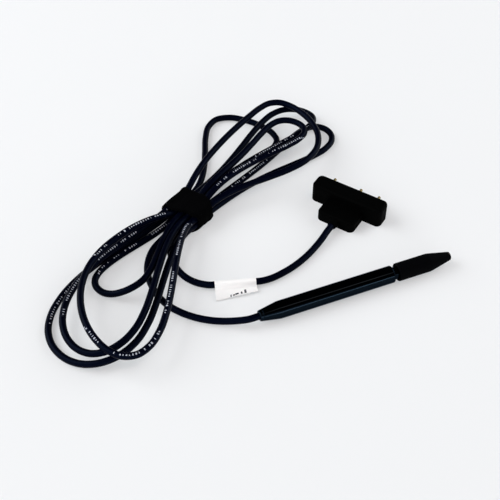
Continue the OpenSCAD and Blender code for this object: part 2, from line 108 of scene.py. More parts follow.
class StageSettings(bpy.types.PropertyGroup):
    table: colour("Table", "Smooth white table", (0.884, 0.900, 0.914))
    glow: colour("Even white", "Even part of the table's white", (0.874, 0.895, 0.917))
    lens: FloatProperty(name="Lens", description="Focal length of the camera in mm", default=70.56,
                        min=20, max=200)


SETTINGS = {
    "hp_handpiece": HandpieceSettings,
    "hp_cord": CordSettings,
    "hp_strap": StrapSettings,
    "hp_label": LabelSettings,
    "hp_plug": PlugSettings,
    "hp_stage": StageSettings,
}

# Sockets of a Mix node that blends colours. Its other kinds have sockets of the same names
MIX_FACTOR, MIX_FIRST, MIX_SECOND, MIX_RESULT = 0, 6, 7, 2


class Socket:
    """One output in a node tree. Arithmetic on it adds Math nodes, and node() adds any other kind."""

    def __init__(self, tree, out):
        self.tree = tree
        self.out = out

    def node(self, kind, settings=None, inputs=None, output=0):
        """Adds a node with its settings, then its inputs' links or values, and returns one of its outputs."""
        made = self.tree.nodes.new("ShaderNode" + kind)
        for key, value in (settings or {}).items():
            setattr(made, key, value)
        for key, value in (inputs or {}).items():
            if isinstance(value, Socket):
                self.tree.links.new(value.out, made.inputs[key])
            else:
                made.inputs[key].default_value = value
        return Socket(self.tree, made.outputs[output]) if len(made.outputs) else None

    def math(self, operation, *values):
        return self.node("Math", {"operation": operation}, dict(enumerate(values)))

    def __add__(self, other):
        return self.math("ADD", self, other)

    def __radd__(self, other):
        return self.math("ADD", other, self)

    def __sub__(self, other):
        return self.math("SUBTRACT", self, other)

    def __rsub__(self, other):
        return self.math("SUBTRACT", other, self)

    def __mul__(self, other):
        return self.math("MULTIPLY", self, other)

    def __rmul__(self, other):
        return self.math("MULTIPLY", other, self)

    def __truediv__(self, other):
        return self.math("DIVIDE", self, other)

    def __lt__(self, other):
        return self.math("LESS_THAN", self, other)

    def __gt__(self, other):
        return self.math("GREATER_THAN", self, other)

    def __abs__(self):
        return self.math("ABSOLUTE", self)

    def floor(self):
        return self.math("FLOOR", self)

    def fract(self):
        return self.math("FRACT", self)

    def sine(self):
        return self.math("SINE", self)

    def between(self, low, high):
        """0 up to low, 1 from high on, eased between them. High may be the smaller."""
        return self.node("MapRange", {"interpolation_type": "SMOOTHSTEP"},
                         {"Value": self, "From Min": low, "From Max": high})

    def near(self, spot, core, reach):
        """1 within a core's distance of a spot, 0 beyond a reach, eased between them."""
        return 1.0 - abs(self - spot).between(core, reach)

    def noise(self, scale, detail=2.0, roughness=0.5):
        """Noise on this vector, from 0 to 1, with a scale in features per unit of the vector."""
        return self.node("TexNoise", {}, {"Vector": self, "Scale": scale, "Detail": detail,
                                          "Roughness": roughness})

    def stretched(self, scale, turn=(0.0, 0.0, 0.0)):
        """This vector scaled, then turned."""
        return self.node("Mapping", {}, {"Vector": self, "Rotation": turn, "Scale": scale})

    def split(self, axis):
        return self.node("SeparateXYZ", {}, {"Vector": self}, "XYZ".index(axis))

    def blend(self, first, second):
        """A colour from the first, where this is 0, to the second, where it is 1."""
        ends = {MIX_FACTOR: self, MIX_FIRST: shade(first), MIX_SECOND: shade(second)}
        return self.node("Mix", {"data_type": "RGBA"}, ends, MIX_RESULT)

    def bump(self, depth, strength=1.0):
        """A normal from this height, whose full range is depth metres."""
        return self.node("Bump", {}, {"Height": self, "Strength": strength, "Distance": depth})

    def surface(self, **values):
        """Ends a material with a Principled shader that takes these values or links."""
        named = {key.replace("_", " "): shade(value) for key, value in values.items()}
        shader = self.node("BsdfPrincipled", {}, named)
        self.node("OutputMaterial", {}, {"Surface": shader})


def shade(value):
    """A colour with its alpha, or any other value as it is."""
    if isinstance(value, Socket) or not hasattr(value, "__len__") or len(value) != 3:
        return value
    return (*value, 1.0)


def lighter(value, times):
    """A colour times a number, darker where that is below 1."""
    return tuple(min(1.0, part * times) for part in value)


def total(sockets):
    """The sum of one or more sockets."""
    first, *others = sockets
    return sum(others, first)


def first_socket(tree, kind, settings, output):
    """Clears a node tree and starts it again with one output of a new node."""
    tree.nodes.clear()
    return Socket(tree, None).node(kind, settings, output=output)


def new_finish(name, uv=None):
    """A bare material and its coordinates: the object's own, or those of a UV map."""
    material = bpy.data.materials.new(name)
    material.use_nodes = True
    if uv:
        return material, first_socket(material.node_tree, "UVMap", {"uv_map": uv}, "UV")
    return material, first_socket(material.node_tree, "TexCoord", {}, "Object")


# Distances from a worn edge: full wear up to the first, and on polish none past the second
WORN_CORE = 0.1 * MM
POLISH_WEAR = 0.6 * MM
POLISH_EDGE_TINT = (0.50, 0.52, 0.56)
POLISH_DUST = (0.02, 0.02, 0.024)


def polished_black(name, base, worn_at):
    """A dark mirror: haze from handling, rub lines along it, dust, and dull edges at places along X."""
    material, place = new_finish(name)
    haze = place.noise(240.0, 4.0, 0.6)
    rub = place.stretched((60.0, 2400.0, 2400.0)).noise(1.0, 3.0)
    specks = place.noise(5200.0, 1.0).between(0.70, 0.76)
    along = place.split("X")
    dull = total(along.near(edge, WORN_CORE, POLISH_WEAR) for edge in worn_at)
    dull = dull * place.noise(1500.0, 3.0).between(0.35, 0.7)
    tone = haze.blend(lighter(base, 0.9), lighter(base, 1.1))
    tone = (dull * 0.5).blend(tone, lighter(base, 1.6))
    tone = (specks * 0.25).blend(tone, POLISH_DUST)
    rough = 0.06 + 0.04 * haze + 0.04 * rub + 0.10 * dull + 0.15 * specks
    place.surface(Base_Color=tone, Roughness=rough, Metallic=1.0, Specular_Tint=POLISH_EDGE_TINT,
                  Normal=(rub * 0.5 + haze).bump(0.02 * MM, 0.3))
    return material


def matt_grip(name, base, worn_at):
    """Spark-textured matt plastic, rubbed smoother and paler at places along X, each with its reach."""
    material, place = new_finish(name)
    grain = place.noise(5200.0, 3.0, 0.6)
    mottle = place.noise(420.0, 3.0)
    along = place.split("X")
    rubbed = total(along.near(edge, WORN_CORE, reach) for edge, reach in worn_at)
    rubbed = rubbed * place.noise(1300.0, 4.0).between(0.3, 0.75)
    tone = mottle.blend(lighter(base, 0.75), lighter(base, 1.5))
    tone = (rubbed * 0.5).blend(tone, lighter(base, 4.0))
    place.surface(Base_Color=tone, Roughness=0.58 + 0.16 * grain - 0.14 * rubbed,
                  Specular_IOR_Level=0.018, Normal=grain.bump(0.06 * MM, 0.55))
    return material


# Print on the cord, in metres along it: the pitch of its ticks, the pitch of their groups, and the share of
# each group's length that is printed
TICK_PITCH = 0.0018
GROUP_PITCH = 0.047
GROUP_SHARE = 0.78
# Stretches of the cord whose print faces up: start, end, and the print's share of a turn there
PRINT_UP = (
    (0.195, 0.285, 0.57), (0.470, 0.525, 0.43), (0.590, 0.645, 0.58),
    (0.660, 0.735, 0.50), (1.055, 1.165, 0.43), (1.355, 1.435, 0.57),
    (1.695, 1.750, 0.57), (2.095, 2.150, 0.43), (2.500, 2.590, 0.43),
)
# Length over which the print turns up before and after such a stretch
PRINT_EASE = 0.012
JACKET_TINT = (0.30, 0.52, 1.0)
JACKET_DUST = (0.06, 0.065, 0.08)


def cord_jacket(name, base, mark):
    """Satin silicone with drawn lines along it and groups of plain printed ticks, on the cord's own UV."""
    material, place = new_finish(name, "cord_run")
    run = place.split("X")
    way_round = place.split("Y")
    drawn = place.stretched((9.0, 46.0, 1.0)).noise(1.0, 4.0, 0.6)
    cloud = place.stretched((60.0, 3.0, 1.0)).noise(1.0, 3.0)
    dust = place.stretched((2600.0, 34.0, 1.0)).noise(1.0, 1.0).between(0.68, 0.75)
    cell = run / TICK_PITCH
    pick = cell.node("TexWhiteNoise", {"noise_dimensions": "1D"}, {"W": cell.floor()})
    drift = 1.0 + 0.03 * (run * 17.3).sine()
    for start, end, turn in PRINT_UP:
        inside = run.between(start - PRINT_EASE, start), run.between(end + PRINT_EASE, end)
        drift = drift - (1.0 - turn) * inside[0] * inside[1]
    tick = (cell.fract() < 0.20 + 0.34 * pick) * (pick > 0.14)
    tall = abs(way_round - drift) < 0.027 + 0.026 * (pick * 7.0).fract()
    group = (run / GROUP_PITCH).fract() < GROUP_SHARE
    worn = place.stretched((900.0, 12.0, 1.0)).noise(1.0, 3.0).between(0.30, 0.44)
    print_on = tick * tall * group * worn
    tone = cloud.blend(lighter(base, 0.8), lighter(base, 1.35))
    tone = (dust * 0.3).blend(tone, JACKET_DUST)
    tone = print_on.blend(tone, mark)
    place.surface(Base_Color=tone, Roughness=0.27 + 0.10 * drawn + 0.08 * cloud + 0.2 * print_on,
                  Specular_IOR_Level=0.046, Specular_Tint=JACKET_TINT,
                  Normal=(drawn + 0.4 * dust).bump(0.03 * MM, 0.4))
    return material


def loop_cloth(name, base):
    """Brushed loop cloth: matted fibres over a fine rib, with a few pale stray fibres."""
    material, place = new_finish(name, "strap_run")
    fibre = place.noise(1900.0, 5.0, 0.7)
    mat = place.noise(520.0, 4.0, 0.6)
    rib = (place.split("X") * 5200.0).sine() * 0.5 + 0.5
    stray = place.stretched((700.0, 3800.0, 1.0), (0.0, 0.0, 0.7)).noise(1.0, 2.0).between(0.70, 0.78)
    tone = fibre.blend(lighter(base, 0.6), lighter(base, 2.6))
    tone = (stray * 0.35).blend(tone, lighter(base, 9.0))
    place.surface(Base_Color=tone, Roughness=0.86 + 0.12 * mat, Specular_IOR_Level=0.014,
                  Sheen_Weight=0.004, Sheen_Roughness=0.5,
                  Normal=(fibre + 0.5 * mat + 0.25 * rib).bump(0.22 * MM, 0.8))
    return material


# Ticks on the label, in metres: middle along the flag, half width, and reach inside the edge from and to
TICKS = (
    (0.0095, 0.0004, 0.0001, 0.0017), (0.0114, 0.0007, 0.0004, 0.0014), (0.0133, 0.0010, 0.0006, 0.0018),
    (0.0161, 0.0005, 0.0004, 0.0020), (0.0184, 0.0006, 0.0004, 0.0029),
)


def label_paper(name, base, ink):
    """Coated white paper with faint fibres, and a row of plain ticks near the flag's edge."""
    material, place = new_finish(name, "label_run")
    along = place.split("X")
    reach = place.split("Y")
    fibre = place.noise(2600.0, 4.0, 0.65)
    soft = place.noise(160.0, 3.0)
    bars = total((abs(along - middle) < half) * (reach > near) * (reach < far)
                 for middle, half, near, far in TICKS)
    worn = place.noise(3200.0, 2.0).between(0.25, 0.42)
    tone = soft.blend(lighter(base, 0.98), base)
    tone = (fibre * 0.2).blend(tone, lighter(base, 0.92))
    tone = (bars * worn).blend(tone, ink)
    place.surface(Base_Color=tone, Roughness=0.42 + 0.14 * fibre, Specular_IOR_Level=0.4,
                  Normal=(fibre + 1.5 * soft).bump(0.03 * MM, 0.5))
    return material


def moulded_matt(name, base):
    """Moulded matt plastic: fine grain, faint flow clouds and dusty rubbed places."""
    material, place = new_finish(name)
    grain = place.noise(4300.0, 3.0, 0.6)
    flow = place.stretched((1.0, 1.0, 2.2)).noise(170.0, 4.0, 0.6)
    scuff = place.stretched((1.0, 3.5, 1.0), (0.0, 0.0, 0.5)).noise(520.0, 5.0, 0.7).between(0.62, 0.8)
    tone = flow.blend(lighter(base, 0.7), lighter(base, 1.5))
    tone = (scuff * 0.3).blend(tone, lighter(base, 6.0))
    place.surface(Base_Color=tone, Roughness=0.62 + 0.12 * grain + 0.10 * scuff - 0.06 * flow,
                  Specular_IOR_Level=0.015, Normal=(grain + 0.5 * flow).bump(0.07 * MM, 0.5))
    return material


def carrier_resin(name, base):
    """Filled resin, smoother than the cover, with pale filler specks."""
    material, place = new_finish(name)
    filler = place.noise(3400.0, 2.0).between(0.66, 0.74)
    cloud = place.noise(380.0, 4.0)
    tone = cloud.blend(lighter(base, 0.8), lighter(base, 1.4))
    tone = (filler * 0.4).blend(tone, lighter(base, 7.0))
    place.surface(Base_Color=tone, Roughness=0.42 + 0.16 * cloud, Specular_IOR_Level=0.2,
                  Normal=(filler + cloud).bump(0.03 * MM, 0.4))
    return material


BLACKENED = (0.020, 0.019, 0.018)
CRIMP_STEEL = (0.52, 0.53, 0.54)
COPPER = (0.72, 0.36, 0.20)


def about_axis(place, turn):
    """Coordinates whose X lies along an axis that is turned in the table's plane."""
    return place.stretched((1.0, 1.0, 1.0), (0.0, 0.0, -turn))


def turned_metal(name, base, turn, rough):
    """Metal turned about an axis in the table's plane, with tool rings and dull stains."""
    material, place = new_finish(name)
    rings = about_axis(place, turn).stretched((9000.0, 60.0, 60.0)).noise(1.0, 2.0)
    stain = place.noise(620.0, 5.0, 0.65)
    tone = stain.blend(lighter(base, 0.82), lighter(base, 1.08))
    place.surface(Base_Color=tone, Metallic=1.0, Roughness=rough + 0.16 * stain + 0.08 * rings,
                  Normal=rings.bump(0.012 * MM, 0.5))
    return material


def stranded_copper(name, base, turn):
    """Bare stranded conductor along an axis in the table's plane: twisted strands, darker tarnish, and painted
    shade between the strands.
    """
    material, place = new_finish(name)
    local = about_axis(place, turn)
    wind = local.split("X") * 900.0 + local.split("Y") * 5200.0 + local.split("Z") * 5200.0
    twist = wind.sine() * 0.5 + 0.5
    tarnish = place.noise(900.0, 4.0)
    # Darker with the tarnish, and darker in the troughs of the strand wave: painted shade in the grooves
    # between strands
    tone = (0.6 * tarnish + 0.4 * (1.0 - twist)).blend(base, lighter(base, 0.35))
    place.surface(Base_Color=tone, Metallic=1.0, Roughness=0.28 + 0.3 * tarnish,
                  Normal=twist.bump(0.12 * MM, 0.8))
    return material


# Share of the table that is an even white, to the camera and in what mirrors it
EVEN_SEEN = 0.42
EVEN_MIRRORED = 0.12


def white_table(name, base, glow):
    """Smooth white laminate. Part of what is seen of it is an even white, so that its shadows stay pale."""
    material, place = new_finish(name)
    cloud = place.noise(3.0, 3.0)
    tone = cloud.blend(lighter(base, 0.985), base)
    lit = place.node("BsdfPrincipled", {}, {"Base Color": tone, "Roughness": 0.5, "Specular IOR Level": 0.12})
    even = place.node("Emission", {}, {"Color": shade(glow), "Strength": 1.0})
    seen, glossy, through = (place.node("LightPath", output=f"Is {ray} Ray")
                             for ray in ("Camera", "Glossy", "Transmission"))
    share = seen * EVEN_SEEN + (glossy + through) * EVEN_MIRRORED
    both = place.node("MixShader", {}, {0: share, 1: lit, 2: even})
    place.node("OutputMaterial", {}, {"Surface": both})
    return material


def finish_node(node, material):
    """Gives a CAD node a finish."""
    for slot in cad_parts[node].material_slots:
        slot.material = material


def clear_selection():
    if bpy.context.mode != "OBJECT":
        bpy.ops.object.mode_set(mode="OBJECT")
    bpy.ops.object.select_all(action="DESELECT")


def select_only(piece):
    clear_selection()
    bpy.context.view_layer.objects.active = piece
    piece.select_set(True)


def in_edit_mode(piece):
    select_only(piece)
    bpy.ops.object.mode_set(mode="EDIT")


def apply_modifiers(piece):
    select_only(piece)
    for modifier in list(piece.modifiers):
        bpy.ops.object.modifier_apply(modifier=modifier.name)


def smooth_shade(piece, sharp):
    """Smooth shading, but for edges that turn by more than an angle in degrees."""
    select_only(piece)
    bpy.ops.object.shade_smooth_by_angle(angle=math.radians(sharp))


def even_shade(piece, sharp):
    """Smooth shading that keeps the broad faces flat."""
    smooth_shade(piece, sharp)
    even = piece.modifiers.new("even", "WEIGHTED_NORMAL")
    even.keep_sharp = True
    apply_modifiers(piece)


def add_piece(piece, name, material, body, slot, *nodes):
    """Names a finished piece, gives it its finish and its body, and lets it stand for CAD nodes."""
    piece.name = name
    piece.data.name = name
    piece.data.materials.clear()
    piece.data.materials.append(material)
    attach(piece, body)
    if nodes:
        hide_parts(*nodes)


def put_in_place(piece, at, turn):
    """Moves and turns a piece, with its place written into its mesh."""
    select_only(piece)
    piece.location = at
    piece.rotation_euler = turn
    bpy.ops.object.transform_apply(location=True, rotation=True, scale=True)


def turned_piece(rings, sides):
    """Extrudes a circle from ring to ring, each a station along Z and a radius in millimetres."""
    clear_selection()
    bpy.ops.mesh.primitive_circle_add(vertices=sides, radius=rings[0][1] * MM)
    piece = bpy.context.object
    in_edit_mode(piece)
    bpy.ops.mesh.select_all(action="SELECT")
    bpy.ops.transform.translate(value=(0, 0, rings[0][0] * MM))
    for (here, wide), (there, next_wide) in zip(rings, rings[1:]):
        bpy.ops.mesh.extrude_edges_move(TRANSFORM_OT_translate={"value": (0, 0, (there - here) * MM)})
        grow = next_wide / wide
        bpy.ops.transform.resize(value=(grow, grow, 1), center_override=(0, 0, there * MM))
    bpy.ops.mesh.select_all(action="SELECT")
    bpy.ops.mesh.remove_doubles(threshold=1e-6)
    bpy.ops.mesh.fill_holes(sides=0)
    bpy.ops.mesh.select_all(action="SELECT")
    bpy.ops.mesh.normals_make_consistent(inside=False)
    bpy.ops.object.mode_set(mode="OBJECT")
    return piece


def bevel_edges(piece, chosen, radius, segments):
    """Rounds the edges whose two ends pass a test."""
    in_edit_mode(piece)
    bpy.ops.mesh.select_mode(type="EDGE")
    bpy.ops.mesh.select_all(action="DESELECT")
    bpy.ops.object.mode_set(mode="OBJECT")
    for edge in piece.data.edges:
        edge.select = chosen(*(piece.data.vertices[i].co for i in edge.vertices))
    bpy.ops.object.mode_set(mode="EDIT")
    bpy.ops.mesh.bevel(offset=radius, offset_type="OFFSET", segments=segments, profile=0.5, affect="EDGES")
    bpy.ops.object.mode_set(mode="OBJECT")


# Steps in the rounding of a block's upright, top and foot edges
CORNER_STEPS, TOP_STEPS, FOOT_STEPS = 9, 6, 3


def rounded_block(low, high, corner, top, foot):
    """A cube between two corners in millimetres, its upright, top and foot edges rounded."""
    clear_selection()
    low, high = Vector(low) * MM, Vector(high) * MM
    bpy.ops.mesh.primitive_cube_add(size=1.0, location=(low + high) / 2, scale=high - low)
    block = bpy.context.object
    bpy.ops.object.transform_apply(location=True, rotation=True, scale=True)
    near = 1e-6
    if corner:
        bevel_edges(block, lambda a, b: abs(a.z - b.z) > near, corner * MM, CORNER_STEPS)
    if top:
        bevel_edges(block, lambda a, b: min(a.z, b.z) > high.z - near, top * MM, TOP_STEPS)
    if foot:
        bevel_edges(block, lambda a, b: max(a.z, b.z) < low.z + near, foot * MM, FOOT_STEPS)
    return block


def combine(piece, other, operation):
    """Joins another piece to a piece or cuts it out, and removes the other."""
    cut = piece.modifiers.new("combine", "BOOLEAN")
    cut.operation = operation
    cut.solver = "EXACT"
    cut.object = other
    apply_modifiers(piece)
    bpy.data.objects.remove(other)


def turned_to(at, turn, point):
    """A point of a frame that stands at a place in the table's plane and is turned there."""
    x, y, z = point
    cos, sin = math.cos(turn), math.sin(turn)
    return at[0] + x * cos - y * sin, at[1] + x * sin + y * cos, z


def eased(share):
    """A share from 0 to 1 that starts and ends gently."""
    share = min(max(share, 0.0), 1.0)
    return share * share * (3 - 2 * share)


def runs_along(points):
    """How far along a line each of its points is."""
    runs = [0.0]
    for a, b in zip(points, points[1:]):
        runs.append(runs[-1] + (b - a).length)
    return runs


# Route of the cord, in millimetres: the hank's frame, its loops in winding order, and the two leads
HANK_AT = (-75.0, 100.0)
HANK_TURN = math.radians(31.0)
WAIST_HALF = 10.0
# Strands in the strap: their pitch, the height of the lower row, and points before and after the middle
PITCH = 5.1
ROW_HEIGHT = 4.1
IN_STRAP = (5.0, -5.0)
# Lowest height of the cord's axis, and how far its first and last strands run on past the waist
GROUND = 2.2
END_RUN = 4.4
# Points along a loop, and the shares of it at which its height is set
PETAL_RINGS = 24
HEIGHT_STOPS = (0.0, 0.17, 0.36, 0.5, 0.64, 0.83, 1.0)
# lobe, slot left, slot entered, reach, half width, lean, curl, fullness, layers out, at the tip and back
PETALS = (
    (1, (-1, 0), (-2, 0), 129, 10.9, -36.2, 21.4, 6.6, (0.1, 0, 0)),
    (-1, (-2, 0), (2, 0), 134.5, 22.5, -35.9, 19.7, 3.15, (1, 0, 0.05)),
    (1, (2, 0), (1, 0), 103.7, 24.3, 45, -36.5, 4.9, (0, 0, 0)),
    (-1, (1, 0), (0, 1), 83.9, 13.3, -16.2, 14.6, 3.6, (0, 0, 1.2)),
    (1, (0, 1), (-1, 1), 111.1, 10.6, -14.4, 6.5, 6.8, (2.45, 2.2, 2.4)),
    (-1, (-1, 1), (2, 1), 127.3, 19.8, -38.1, 14.7, 3.1, (1.8, 0.85, 1.05)),
    (1, (2, 1), (-2, 1), 125.2, 20.5, -39.4, 45, 2.55, (2.3, 1.95, 2.25)),
    (-1, (-2, 1), (1, 1), 121.1, 24.6, -40.9, 3.3, 2.5, (2.5, 2.35, 2.4)),
    (1, (1, 1), (0, 0), 133.1, 13.2, -1.7, -4.2, 5.5, (1, 0.6, 1.25)),
)
LEAD_Z = 2.25
TO_HANDLE = (
    (-91, 90.2, 3.6), (-98, 85.8, 2.6), (-106, 80, LEAD_Z), (-112, 72, LEAD_Z), (-116, 62, LEAD_Z),
    (-117, 51, LEAD_Z), (-116, 41, LEAD_Z), (-112.6, 31.5, LEAD_Z), (-107, 23, LEAD_Z), (-100, 15.9, LEAD_Z),
    (-92.8, 10.6, 2.4), (-86, 6.6, 3), (-79.8, 3.2, 4.3), (-71.5, 0, 5.85), (-65.5, 0, 5.85),
    (-55.75, 0, 5.85), (-46, 0, 5.85),
)
LABEL_AT = (-68.0, 32.5, 2.65)
LABEL_TURN = math.radians(-16.2)
LABEL_STOPS = (-15.0, -13.0, -6.5, 0.0, 6.5, 13.0, 15.0)
TO_LABEL = (
    (-88.5, 85.6, 3.6), (-93.5, 80.5, 2.7), (-96.8, 73, LEAD_Z), (-98, 64, LEAD_Z), (-97.3, 56, LEAD_Z),
    (-95.1, 49.3, LEAD_Z), (-91.6, 43.9, LEAD_Z), (-87.2, 39.8, LEAD_Z),
)
TO_PLUG = (
    (-46, 28, LEAD_Z), (-37.2, 29.4, LEAD_Z), (-27.7, 32.2, LEAD_Z), (-17.8, 36.6, LEAD_Z), (-9, 41.7, 2.5),
    (-1.8, 46.4, 3.3),
)
PLUG_AT = (28.2, 68.3)
PLUG_TURN = math.radians(35.9)
STEM_Z = 4.0
IN_PLUG = (-29.05, -24.65, -20.65, -12.65)


def slot_place(slot):
    """Across and height of a strand in the strap."""
    return slot[0] * PITCH, ROW_HEIGHT + slot[1] * PITCH


def petal_point(petal, share):
    """A point of one loop of the hank, in the hank's frame."""
    lobe, leaves, enters, reach, half, lean, curl, full, layers = petal
    swing = math.sin(math.pi * share)
    peak = (full / (full + 1)) ** (full / 2) / math.sqrt(full + 1)
    (start, low), (end, high) = slot_place(leaves), slot_place(enters)
    out, tip, back = (GROUND + PITCH * layer for layer in layers)
    along = WAIST_HALF + (reach - WAIST_HALF) * swing * swing
    side = 1 if start > end else -1
    bulge = side * half * max(swing, 0.0) ** full * math.cos(math.pi * share) / peak
    across = bulge + lean * swing ** 4 + curl * swing ** 8 + start + (end - start) * eased(2 * share - 0.5)
    heights = (low, out, out, tip, back, back, high)
    step = max(i for i in range(len(HEIGHT_STOPS) - 1) if share >= HEIGHT_STOPS[i])
    part = (share - HEIGHT_STOPS[step]) / (HEIGHT_STOPS[step + 1] - HEIGHT_STOPS[step])
    height = heights[step] + (heights[step + 1] - heights[step]) * eased(part)
    return lobe * along, across, height


def cord_route():
    """The whole cord's centreline in metres, from its end in the handle to its end in the plug."""
    def strand_end(slot, reach):
        across, height = slot_place(slot)
        return turned_to(HANK_AT, HANK_TURN, (-reach, across, height))

    first, last = PETALS[0][1], PETALS[-1][2]
    ends = (WAIST_HALF + END_RUN, WAIST_HALF)
    hank = [strand_end(first, reach) for reach in ends]
    for petal in PETALS:
        loop = [petal_point(petal, i / PETAL_RINGS) for i in range(PETAL_RINGS + 1)]
        if petal is not PETALS[0]:
            across, height = slot_place(petal[1])
            loop = [(-petal[0] * reach, across, height) for reach in IN_STRAP] + loop
        hank += [turned_to(HANK_AT, HANK_TURN, point) for point in loop]
    hank += [strand_end(last, reach) for reach in reversed(ends)]
    label = [turned_to(LABEL_AT, LABEL_TURN, (along, 0.0, LABEL_AT[2])) for along in LABEL_STOPS]
    plug = [turned_to(PLUG_AT, PLUG_TURN, (x, 0.0, STEM_Z)) for x in IN_PLUG]
    route = [*reversed(TO_HANDLE), *reversed(hank), *TO_LABEL, *label, *TO_PLUG, *plug]
    return [Vector(point) * MM for point in route]


def smooth_line(points, step):
    """A smooth line through points, with its own points about a step apart and none below the ground."""
    spans = [max((b - a).length, 1e-9) for a, b in zip(points, points[1:])]
    slopes = []
    for i in range(len(points)):
        if i == 0:
            slopes.append((points[1] - points[0]) / spans[0])
        elif i == len(points) - 1:
            slopes.append((points[-1] - points[-2]) / spans[-1])
        else:
            before = (points[i] - points[i - 1]) / spans[i - 1]
            after = (points[i + 1] - points[i]) / spans[i]
            slopes.append((before * spans[i] + after * spans[i - 1]) / (spans[i] + spans[i - 1]))
    line = []
    for i, span in enumerate(spans):
        count = max(1, round(span / step))
        for k in range(count):
            t = k / count
            line.append(points[i] * (1 + 2 * t) * (1 - t) ** 2 + slopes[i] * span * t * (1 - t) ** 2
                        + points[i + 1] * t * t * (3 - 2 * t) + slopes[i + 1] * span * t * t * (t - 1))
    line.append(points[-1].copy())
    for point in line:
        point.z = max(point.z, GROUND * MM)
    return line


def tube_mesh(name, line, radius, sides):
    """A round closed tube along a line. Its UV holds the run in metres and the share of the way round."""
    count = len(line)
    runs = runs_along(line)
    vertices = []
    for i, point in enumerate(line):
        ahead = (line[min(i + 1, count - 1)] - line[max(i - 1, 0)]).normalized()
        side = ahead.cross(Vector((0, 0, 1))).normalized()
        up = side.cross(ahead)
        for k in range(sides):
            angle = 2 * math.pi * (k / sides - 0.5)
            vertices.append(point + (up * math.cos(angle) + side * math.sin(angle)) * radius)
    faces = []
    spots = []
    for i in range(count - 1):
        for k in range(sides):
            n = (k + 1) % sides
            faces.append((i * sides + k, i * sides + n, (i + 1) * sides + n, (i + 1) * sides + k))
            low, high = k / sides, (k + 1) / sides
            spots += [(runs[i], low), (runs[i], high), (runs[i + 1], high), (runs[i + 1], low)]
    faces.append(tuple(reversed(range(sides))))
    faces.append(tuple((count - 1) * sides + k for k in range(sides)))
    spots += [(runs[0], k / sides) for k in reversed(range(sides))]
    spots += [(runs[-1], k / sides) for k in range(sides)]
    mesh = bpy.data.meshes.new(name)
    mesh.from_pydata(vertices, [], faces)
    layer = mesh.uv_layers.new(name="cord_run")
    for loop, spot in zip(layer.data, spots):
        loop.uv = spot
    mesh.update()
    return mesh, runs[-1]


class HANDPIECE_OT_cord(bpy.types.Operator):
    """Winds the whole cord as one smooth tube, from the handle through the hank and the label to the plug"""

    bl_idname = "handpiece.cord"
    bl_label = "Cord"

    def execute(self, context):
        size = context.scene.hp_cord
        line = smooth_line(cord_route(), size.ring_step)
        mesh, run = tube_mesh("cord", line, size.diameter / 2, size.sides)
        cord = bpy.data.objects.new("cord", mesh)
        context.collection.objects.link(cord)
        smooth_shade(cord, sharp=60)
        jacket = cord_jacket("cord jacket", tuple(size.jacket), tuple(size.mark))
        add_piece(cord, "cord", jacket, "handle", "cord", "cord_to_handle", "cord_hank", "cord_to_plug")
        on_it = ["cord_strap", "cord_label", "plug_cover", "pin_carrier", "contact_pin_1", "contact_pin_2",
                 "contact_pin_3", "plug_boot", "cord_crimp_plug", "plug_conductor"]
        on_it = [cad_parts[name] for name in on_it]
        made = ("strap", "label", "cover", "carrier", "pin_1", "pin_2", "pin_3", "boot")
        on_it += [bpy.data.objects[name] for name in made if name in bpy.data.objects]
        return {"FINISHED"}


def shaped_sheet(columns, rows, uv, thickness, spot_of):
    """A sheet with a thickness, from a grid of columns and rows.

    A function gives the UV in metres and the place in millimetres of a point in a column, at a share of its
    half width from -1 to 1.
    """
    clear_selection()
    bpy.ops.mesh.primitive_grid_add(x_subdivisions=columns - 1, y_subdivisions=rows - 1, size=1)
    sheet = bpy.context.object
    layer = sheet.data.uv_layers.active
    layer.name = uv
    spots = []
    for vertex in sheet.data.vertices:
        column = round((vertex.co.x + 0.5) * (columns - 1))
        spot, place = spot_of(column, vertex.co.y * 2)
        spots.append(spot)
        vertex.co = [part * MM for part in place]
    for loop in sheet.data.loops:
        layer.data[loop.index].uv = spots[loop.vertex_index]
    solid = sheet.modifiers.new("thickness", "SOLIDIFY")
    solid.thickness = thickness
    solid.offset = 0.0
    return sheet


# Inner face of the strap round the hank: half its width, its foot and top, and the radius of its corners
STRAP_HALF, STRAP_FOOT, STRAP_TOP, STRAP_CORNER = 12.7 * MM, 1.6 * MM, 11.7 * MM, 2.5 * MM
# Where the winding starts across the hank, and the height below which its lap ends
STRAP_START, LAP_LOW = 4.0 * MM, 4.6 * MM
# The lap follows the winding's own points again, from this one on
LAP_FIRST = 2
STRAP_STEP = 1.2 * MM
STRAP_CORNER_STEPS = 8
STRAP_ROWS = 17
# Share of a layer's thickness that the cloth fills
LAYER_FILL = 0.96
# Points over which the winding climbs onto its own start, and over which the lap's ripples set in
CLIMB_STEPS, RIPPLE_STEPS = 12, 10


